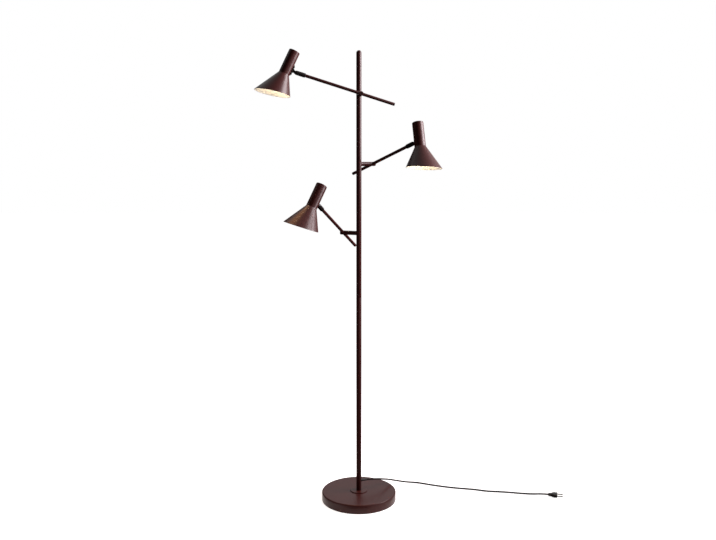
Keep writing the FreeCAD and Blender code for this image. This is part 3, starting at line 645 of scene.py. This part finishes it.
def makeSleeve(level, shape):
    place, body = places[level], f"{level}_sleeve"
    pivot, out, up = place["pivot"], place["out"], place["up"]
    r, start, end = shape["radius"], shape["start"], shape["end"]
    floor, (near, far) = r - shape["groove"], shape["grooveAt"]
    outline = [(0, shape["boreEnd"], 0), (shape["bore"], shape["boreEnd"], 0),
               (shape["bore"], start, 0), (r, start, shape["edge"]), (r, near, hairEdge),
               (floor, near, 0), (floor, far, 0), (r, far, hairEdge),
               (r, shape["taper"], shape["taperEdge"]), (shape["tip"], end, shape["tipEdge"]),
               (0, end, 0)]
    piece = turnedPiece(f"{level}_sleeve", outline, (pivot, up, out), body,
                        finish["blackCoat"])
    # the fork's slot, the pin's bore right through, and a wider seat at each side for its heads
    side, slotLength = np.cross(out, up), shape["slotLength"]
    middle = pivot + out * (shape["slotFloor"] + slotLength / 2)
    slot = boxMesh(middle, (out, side, up), (slotLength, shape["slotWidth"], r * 3))
    cutters = [slot, rodMesh(pivot - side * r * 1.5, pivot + side * r * 1.5, shape["pinBore"])]
    for sign in (-1, 1):
        seat = pivot + side * sign * shape["headSeat"]
        cutters.append(rodMesh(seat, seat + side * sign * r, shape["headBore"]))
    carve(piece, cutters)
    dressNode(f"{level}_pivot_screw", body, finish["blackSteel"], hairEdge)


for level in levels:
    makeSleeve(level, sleeveShape)
print("sleeves made")


# Shades: spun shells with a slanting rim, white inside, and what they hold

def shadePoints(place, shape):
    # the profile runs down the outside, round the rim and up the inside. From the end of the
    # flare (r0, z0) the cone drops until it meets the slanting plane, at angle u by
    # (depth + z0 + r0 cos(u) tan(slant)) / (1 - cos(u) tan(slant) tan(half angle))
    wall, angle = shape["wall"], math.radians(shape["halfAngle"])
    neck, top, edge, flare = (
        shape[key] for key in ("neckRadius", "neckLength", "topEdge", "flare"))
    slope, tilt = math.tan(angle), math.tan(math.radians(shape["slant"]))
    flareR, flareZ = neck + flare, flare * math.tan(angle / 2)
    u = np.linspace(0, 2 * np.pi, shape["around"], endpoint=False)
    bend = np.linspace(0, angle, 9)[1:]
    share = np.linspace(0, 1, 25)[1:, None]

    def outline(radius, roof, rounding, bendRadius):
        corner = softProfile([(0, roof, 0), (radius, roof, rounding), (radius, flareZ, 0)], 8)
        arc = np.stack([flareR - bendRadius * np.cos(bend), flareZ - bendRadius * np.sin(bend)],
                       axis=-1)
        r0, z0 = arc[-1]
        drop = (shape["depth"] + z0 + r0 * np.cos(u) * tilt) / (1 - np.cos(u) * tilt * slope)
        rings = np.concatenate([corner, arc])
        ringsR = np.concatenate([np.repeat(rings[:, :1], len(u), 1), r0 + share * drop * slope])
        ringsZ = np.concatenate([np.repeat(rings[:, 1:], len(u), 1), z0 - share * drop])
        return ringsR, ringsZ

    outerR, outerZ = outline(neck, top, edge, flare)
    innerR, innerZ = outline(neck - wall, top - wall, edge - wall, flare + wall)
    # a bead round the rim: half a circle from the outer edge to the inner one
    turn = np.linspace(0, np.pi, 9)[1:-1, None]
    midR, midZ = (outerR[-1] + innerR[-1]) / 2, (outerZ[-1] + innerZ[-1]) / 2
    acrossR, acrossZ = (outerR[-1] - innerR[-1]) / 2, (outerZ[-1] - innerZ[-1]) / 2
    size = np.hypot(acrossR, acrossZ)
    alongR, alongZ = size * math.sin(angle), -size * math.cos(angle)
    beadR = midR - alongR + acrossR * np.cos(turn) + alongR * np.sin(turn)
    beadZ = midZ - alongZ + acrossZ * np.cos(turn) + alongZ * np.sin(turn)
    outerR[-1], outerZ[-1] = outerR[-1] - alongR, outerZ[-1] - alongZ
    innerR[-1], innerZ[-1] = innerR[-1] - alongR, innerZ[-1] - alongZ
    radius = np.concatenate([outerR, beadR, innerR[::-1]])
    height = np.concatenate([outerZ, beadZ, innerZ[::-1]])
    yAxis = np.cross(place["neck"], place["away"])
    circle = np.cos(u)[:, None] * place["away"] + np.sin(u)[:, None] * yAxis
    points = place["foot"] + radius[..., None] * circle + height[..., None] * place["neck"]
    outsideRows = len(outerR) + 1
    return points, outsideRows


def makeShade(level, shape):
    points, outsideRows = shadePoints(places[level], shape)
    rows, columns = points.shape[:2]
    paint = np.repeat(np.arange(rows - 1) >= outsideRows, columns)
    finishMesh(f"{level}_shade", points, gridFaces(rows, columns), f"{level}_head",
               [finish["burgundyCoat"], finish["whiteEnamel"]], paint)


bulbShape = {
    "radius": 0.0225, "centre": -0.024, "wall": 0.0008, "neck": 0.0064, "neckTop": 0.0065,
    "capRadius": 0.0069, "capLength": 0.0185, "capSkirt": 0.0016, "threads": 5,
    "threadDepth": 0.00045, "contact": 0.0025, "contactLength": 0.006, "contactTip": 0.0015,
    "glassAround": 96, "capAround": 64,
}


def bulbOutline(radius, neck, shape):
    # straight from the neck until it touches the ball, then round the ball to its lowest point
    rise = shape["neckTop"] - shape["centre"]
    angle = math.atan2(rise, neck) - math.acos(radius / math.hypot(neck, rise))
    around = np.linspace(angle, -math.pi / 2, 33)
    ball = np.stack([radius * np.cos(around), shape["centre"] + radius * np.sin(around)], axis=-1)
    ball[-1, 0] = 0
    return np.concatenate([[[neck, shape["neckTop"]]], ball])


def makeBulb(level, shape):
    place, body = places[level], f"{level}_head"
    axis = (place["foot"], place["away"], place["neck"])
    outer = bulbOutline(shape["radius"], shape["neck"], shape)
    inner = bulbOutline(shape["radius"] - shape["wall"], shape["neck"] - shape["wall"], shape)
    # each skin is closed by its own pole, and both join at the neck
    profile, around = np.concatenate([outer[::-1], inner]), shape["glassAround"]
    finishMesh(f"{level}_bulb_glass", turnedPoints(profile, axis, around),
               gridFaces(len(profile), around), body, [litGlass])
    # screw cap: its radius falls and rises once for each turn of thread
    foot, top = shape["neckTop"], shape["neckTop"] + shape["capLength"]
    z = np.linspace(foot + shape["capSkirt"], top, 20 * shape["threads"] + 1)
    phase = (z - z[0]) / (z[-1] - z[0]) * shape["threads"] * 2 * np.pi
    threadR = shape["capRadius"] - shape["threadDepth"] * (0.5 - 0.5 * np.cos(phase))
    contact, tip = shape["contact"], shape["contactTip"]
    shoulder = top + shape["contactLength"] - tip
    profile = np.concatenate([
        [[0, foot], [shape["neck"], foot]], np.stack([threadR, z], axis=-1),
        [[contact, shoulder], [contact, shoulder + tip], [0, shoulder + tip]]])
    around = shape["capAround"]
    finishMesh(f"{level}_bulb_cap", turnedPoints(profile, axis, around),
               gridFaces(len(profile), around), body, [finish["bulbCap"]])


holderShape = {
    "radius": 0.013, "mouth": 0.008, "mouthEdge": 0.0012, "seat": 0.052, "socket": 0.0073,
    "depth": 0.0245, "collar": 0.014, "collarEnd": 0.0146, "step": 0.0006, "chamfer": 0.003,
    "nipple": 0.005, "nippleTop": 0.060, "nut": 0.008, "nutLow": 0.0535, "nutHigh": 0.0565,
}


def makeHolder(level, shape):
    place = places[level]
    axis = (place["foot"], place["away"], place["neck"])
    r, seat, mouth, nipple = shape["radius"], shape["seat"], shape["mouth"], shape["nipple"]
    socket, bottom = shape["socket"], mouth + shape["depth"]
    body, chamfer, nut = r - shape["step"], shape["chamfer"], shape["nut"]
    outline = [(0, bottom, 0), (socket, bottom, 0), (socket, mouth, fullEdge),
               (r, mouth, shape["mouthEdge"]), (r, mouth + shape["collar"], softEdge),
               (body, mouth + shape["collarEnd"], fineEdge), (body, seat - chamfer, fullEdge),
               (r - chamfer, seat, softEdge), (nipple, seat, 0), (nipple, shape["nutLow"], 0),
               (nut, shape["nutLow"], fineEdge), (nut, shape["nutHigh"], softEdge),
               (nipple, shape["nutHigh"], 0), (nipple, shape["nippleTop"], softEdge),
               (0, shape["nippleTop"], 0)]
    turnedPiece(f"{level}_lamp_holder", outline, axis, f"{level}_head",
                finish["whiteHolder"])


for level in levels:
    makeShade(level, shadeShape)
    makeBulb(level, bulbShape)
    makeHolder(level, holderShape)
    head = f"{level}_head"
    dressNode(f"{level}_lug", head, finish["blackCoat"], softEdge)
    dressNode(f"{level}_lug_screws", head, finish["blackSteel"], thinEdge)
    dressNode(f"{level}_holder_bracket", head, finish["zincSteel"], fineEdge)
print("shades made")


# Cord: from the strain relief near the foot of the pole, over the base and along the floor

cordFacts = {"diameter": 0.0055, "length": 0.705}
cordRoute = [
    (0.02788, 0.00593, 0.068), (0.04451, 0.00946, 0.068), (0.066, 0.022, 0.064),
    (0.088, 0.042, 0.05475), (0.108, 0.066, 0.04375), (0.130, 0.092, 0.02975),
    (0.155, 0.1195, 0.01475), (0.180, 0.1355, 0.00575), (0.209, 0.1395, 0.00275),
    (0.242, 0.125, 0.00275), (0.281, 0.1085, 0.00275), (0.331, 0.092, 0.00275),
    (0.374, 0.083, 0.00275), (0.412, 0.075, 0.00275), (0.446, 0.0615, 0.00275),
    (0.482, 0.0575, 0.00275), (0.523, 0.0515, 0.00275), (0.570, 0.041, 0.00275),
    (0.603, 0.0354, 0.00335), (0.63544, 0.02816, 0.00685), (0.655, 0.024, 0.00685),
]


def makeCord(facts, route):
    curve = bpy.data.curves.new("powerCord", "CURVE")
    curve.dimensions = "3D"
    curve.bevel_depth = facts["diameter"] / 2
    curve.bevel_resolution = 6
    curve.use_fill_caps = True
    curve.resolution_u = 12
    spline = curve.splines.new("NURBS")
    spline.points.add(len(route) - 1)
    spline.points.foreach_set("co", np.c_[np.array(route), np.ones(len(route))].ravel())
    spline.order_u = 3
    spline.use_endpoint_u = True
    curve.materials.append(finish["cordSheath"])
    cord = linkObject("powerCord", curve)
    mount(cord, "root", "power_cord")
    return cord


def levelDirection(degrees):
    # a direction along the floor, turned from the x axis
    bearing = math.radians(degrees)
    return np.array([math.cos(bearing), math.sin(bearing), 0])


reliefShape = {
    "bearing": 12.0, "height": 0.068, "stemIn": 0.0055, "stem": 0.0038, "flange": 0.0052,
    "flangeIn": 0.0063, "flangeOut": 0.0100, "root": 0.0044, "tip": 0.0035, "end": 0.0285,
    "ribs": 5, "ribDepth": 0.00045, "around": 48,
}


def makeRelief(shape):
    # the boot's radius tapers from root to tip, less a rib's depth where the wave is high
    axis = (np.array([0, 0, shape["height"]]), worldZ, levelDirection(shape["bearing"]))
    stem, stemIn, flange = shape["stem"], shape["stemIn"], shape["flange"]
    flangeIn, flangeOut, root = shape["flangeIn"], shape["flangeOut"], shape["root"]
    head = softProfile([(0, stemIn, 0), (stem, stemIn, softEdge), (stem, flangeIn, 0),
                        (flange, flangeIn, 0), (flange, flangeOut, fullEdge),
                        (root, flangeOut, 0)])
    share = np.linspace(0, 1, 12 * shape["ribs"] + 1)
    taper = root + (shape["tip"] - root) * share
    wave = shape["ribDepth"] * (0.5 - 0.5 * np.cos(2 * np.pi * shape["ribs"] * share)) ** 3
    boot = np.stack([taper - wave, flangeOut + (shape["end"] - flangeOut) * share], axis=-1)
    profile, around = np.concatenate([head, boot[1:], [[0, shape["end"]]]]), shape["around"]
    finishMesh("cord_relief", turnedPoints(profile, axis, around),
               gridFaces(len(profile), around), "root", [finish["blackPlastic"]])


plugShape = {
    "place": (0.655, 0.024, 0.00685), "bearing": -12.0, "length": 0.030, "rear": (0.012, 0.009),
    "neckAt": 0.008, "neck": (0.015, 0.0099), "faceFrom": 0.0186, "face": (0.026, 0.0137),
    "squareness": 3.4, "edge": 0.0016, "around": 64,
}


def makePlug(shape):
    # superellipse sections: y = a cos(u)^(2/n), z = b sin(u)^(2/n), a and b eased along the body
    ahead = levelDirection(shape["bearing"])
    side = np.cross(worldZ, ahead)
    length, edge, neckAt = shape["length"], shape["edge"], shape["neckAt"]
    x = np.concatenate([[0], np.linspace(0, 1, 9) * edge,
                        np.linspace(edge, length - edge, 41)[1:-1],
                        length - edge * np.linspace(1, 0, 9), [length]])
    ease = np.clip((x - neckAt) / (shape["faceFrom"] - neckAt), 0, 1)
    ease = ease * ease * (3 - 2 * ease)
    start = np.clip(x / neckAt, 0, 1)
    halfWidth, halfThick = (
        ((rear * (1 - start) + neck * start) * (1 - ease) + face * ease) / 2
        for rear, neck, face in zip(shape["rear"], shape["neck"], shape["face"]))
    # rounded ends: the section shrinks by the edge radius as a quarter circle
    rear = np.clip(1 - x / edge, 0, 1)
    front = np.clip(1 - (length - x) / edge, 0, 1)
    shrink = edge * (2 - np.sqrt(1 - rear ** 2) - np.sqrt(1 - front ** 2))
    halfWidth, halfThick = halfWidth - shrink, halfThick - shrink
    halfWidth[[0, -1]] = 0
    halfThick[[0, -1]] = 0
    u = np.linspace(0, 2 * np.pi, shape["around"], endpoint=False)
    power = 2 / shape["squareness"]
    acrossY = np.sign(np.cos(u)) * np.abs(np.cos(u)) ** power
    acrossZ = np.sign(np.sin(u)) * np.abs(np.sin(u)) ** power
    points = (np.array(shape["place"]) + x[:, None, None] * ahead
              + (halfWidth[:, None] * acrossY)[..., None] * side
              + (halfThick[:, None] * acrossZ)[..., None] * worldZ)
    return finishMesh("plug_body", points, gridFaces(len(x), shape["around"]), "root",
                      [finish["blackPlastic"]])


powerCord = makeCord(cordFacts, cordRoute)
makeRelief(reliefShape)
plugBody = makePlug(plugShape)
plugPins = dressNode("plug_pins", "root", finish["nickelPin"], fineEdge)
print("cord made")


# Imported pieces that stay: they are hidden inside, and get their own finish

insideFinish = {
    "base_weight": "castIron", "base_stud": "zincSteel", "base_nut": "zincSteel",
    "pole_joint": "zincSteel", "friction_nuts": "zincSteel", "inner_lead": "paleLead",
}


def paintInside(table):
    for node, name in table.items():
        mesh = frame["nodes"][node].data
        mesh.materials.clear()
        mesh.materials.append(finish[name])


paintInside(insideFinish)


# Studio: white floor and background, a soft light on the right, a strip for the shades, and
# black flags that only reflections see

lampWhite = (1.0, 0.93, 0.96)
studio = {
    "floorSize": 14.0,  # from the middle to each side
    "floorDrop": 0.0002,  # keeps the floor clear of the lamp's foot
    "floorColour": (0.82, 0.82, 0.82),
    "floorGlow": 0.90,
    "ambient": 0.16,  # world strength for diffuse light
    "ambientColour": (1.0, 0.97, 0.95),
    # name: place, target, width, height, watts, spread in degrees, colour
    "lamps": {
        "rightSoftbox": ((1.90, 0.0, 2.00), (0.0, 0.0, 1.40), 1.4, 1.7, 50.0, 80.0, lampWhite),
        "neckStrip": ((1.80, -0.30, 0.90), (0.0, 0.0, 1.35), 0.4, 0.8, 27.0, 180.0, lampWhite),
    },
    "flagColour": (0.01, 0.01, 0.01),
    # name: place, target, width, height
    "flags": {
        "leftFlag": ((-1.9, -0.6, 1.1), (0.0, 0.0, 1.1), 5.0, 3.0),
        "backLeftFlag": ((-2.1, 1.9, 1.3), (0.0, 0.0, 1.3), 3.0, 3.4),
        "frontFlag": ((-1.0, -3.4, 1.4), (-0.4, 0.0, 1.2), 3.8, 3.4),
        "aboveFlag": ((-0.9, -1.7, 3.0), (-0.3, 0.0, 1.3), 4.4, 3.6),
        "frontFloorFlag": ((-0.83, -1.735, 0.0004), (-0.83, -1.735, -1.0), 6.4, 3.13),
        "leftFloorFlag": ((-2.085, -0.01, 0.0004), (-2.085, -0.01, -1.0), 3.83, 0.32),
        "rightFloorFlag": ((1.26, -0.01, 0.0004), (1.26, -0.01, -1.0), 2.20, 0.32),
        "backFloorFlag": ((0.0, 3.1, 0.0004), (0.0, 3.1, -1.0), 12.0, 5.9),
        "backFlag": ((0.0, 6.0, 0.70), (0.0, 0.0, 0.70), 14.0, 1.7),
        "rightLowFlag": ((2.3, 0.0, 0.40), (0.0, 0.0, 0.40), 6.0, 1.2),
    },
}


def seenDirectly(tree):
    # 1 for rays from the camera and for mirror and glass rays, else 0
    path = addNode(tree, "ShaderNodeLightPath")
    first = addNode(tree, "ShaderNodeMath", operation="MAXIMUM")
    second = addNode(tree, "ShaderNodeMath", operation="MAXIMUM")
    tree.links.new(path.outputs["Is Camera Ray"], first.inputs[0])
    tree.links.new(path.outputs["Is Glossy Ray"], first.inputs[1])
    tree.links.new(first.outputs["Value"], second.inputs[0])
    tree.links.new(path.outputs["Is Transmission Ray"], second.inputs[1])
    return second.outputs["Value"]


def sheetMesh(name, width, height):
    x, y = width / 2, height / 2
    corners = [(-x, -y, 0), (x, -y, 0), (x, y, 0), (-x, y, 0)]
    return meshFrom(name, corners, [(0, 1, 2, 3)])


def makeFloor(setup):
    mesh = sheetMesh("floor", 2 * setup["floorSize"], 2 * setup["floorSize"])
    floor = linkObject("floor", mesh)
    floor.location.z = -setup["floorDrop"]
    material, tree, shader = newSurface("floorWhite")
    material.cycles.emission_sampling = "NONE"
    tree.nodes.remove(shader)
    diffuse = addNode(tree, "ShaderNodeBsdfDiffuse", {"Color": (*setup["floorColour"], 1)})
    glow = addNode(tree, "ShaderNodeEmission", {"Strength": setup["floorGlow"]})
    both = addNode(tree, "ShaderNodeAddShader")
    choose = addNode(tree, "ShaderNodeMixShader")
    link = tree.links.new
    link(diffuse.outputs["BSDF"], both.inputs[0])
    link(glow.outputs["Emission"], both.inputs[1])
    link(seenDirectly(tree), choose.inputs["Fac"])
    link(diffuse.outputs["BSDF"], choose.inputs[1])
    link(both.outputs["Shader"], choose.inputs[2])
    link(choose.outputs["Shader"], tree.nodes["Material Output"].inputs["Surface"])
    mesh.materials.append(material)


def aim(thing, place, target):
    thing.location = place
    direction = Vector(target) - Vector(place)
    thing.rotation_euler = direction.to_track_quat("-Z", "Y").to_euler()


def makeLamps(table):
    for name, (place, target, width, height, watts, spreadAngle, colour) in table.items():
        lamp = bpy.data.lights.new(name, "AREA")
        lamp.shape = "RECTANGLE"
        lamp.size = width
        lamp.size_y = height
        lamp.energy = watts
        lamp.spread = math.radians(spreadAngle)
        lamp.color = colour
        aim(linkObject(name, lamp), place, target)
    # the strip stands in for the low light that only the necks catch
    shades = bpy.data.collections.new("shades")
    for level in levels:
        shades.objects.link(bpy.data.objects[level + "Shade"])
    bpy.data.objects["neckStrip"].light_linking.receiver_collection = shades


def makeFlags(setup):
    black, _, shader = newSurface("flagBlack")
    shader.inputs["Base Color"].default_value = (*setup["flagColour"], 1)
    shader.inputs["Specular IOR Level"].default_value = 0
    for name, (place, target, width, height) in setup["flags"].items():
        mesh = sheetMesh(name, width, height)
        mesh.materials.append(black)
        flag = linkObject(name, mesh)
        aim(flag, place, target)
        flag.visible_camera = False
        flag.visible_diffuse = False
        flag.visible_transmission = False
        flag.visible_shadow = False


def makeWorld(setup):
    world = bpy.data.worlds.new("studioWorld")
    bpy.context.scene.world = world
    world.use_nodes = True
    tree = world.node_tree
    ambient = tree.nodes["Background"]
    ambient.inputs["Color"].default_value = (*setup["ambientColour"], 1)
    ambient.inputs["Strength"].default_value = setup["ambient"]
    white = addNode(tree, "ShaderNodeBackground", {"Color": (1, 1, 1, 1)})
    choose = addNode(tree, "ShaderNodeMixShader")
    link = tree.links.new
    link(seenDirectly(tree), choose.inputs["Fac"])
    link(ambient.outputs["Background"], choose.inputs[1])
    link(white.outputs["Background"], choose.inputs[2])
    link(choose.outputs["Shader"], tree.nodes["World Output"].inputs["Surface"])


def makeBeams(look):
    # each lit bulb also throws a warm beam out of its shade, which turns with the shade
    for level in levels:
        place = places[level]
        lamp = bpy.data.lights.new(f"{level}Beam", "SPOT")
        lamp.energy = look["beamPower"]
        lamp.color = look["beamColour"]
        lamp.spot_size = math.radians(look["beamAngle"])
        lamp.spot_blend = look["beamBlend"]
        lamp.shadow_soft_size = look["beamSize"]
        beam = linkObject(f"{level}Beam", lamp)
        start = place["foot"] - place["neck"] * look["beamStart"]
        aim(beam, start, start - place["neck"])
        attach(beam, f"{level}_head")


makeFloor(studio)
makeLamps(studio["lamps"])
makeFlags(studio)
makeWorld(studio)
makeBeams(bulbLight)
bpy.context.scene.view_settings.view_transform = "Standard"
print("studio made")
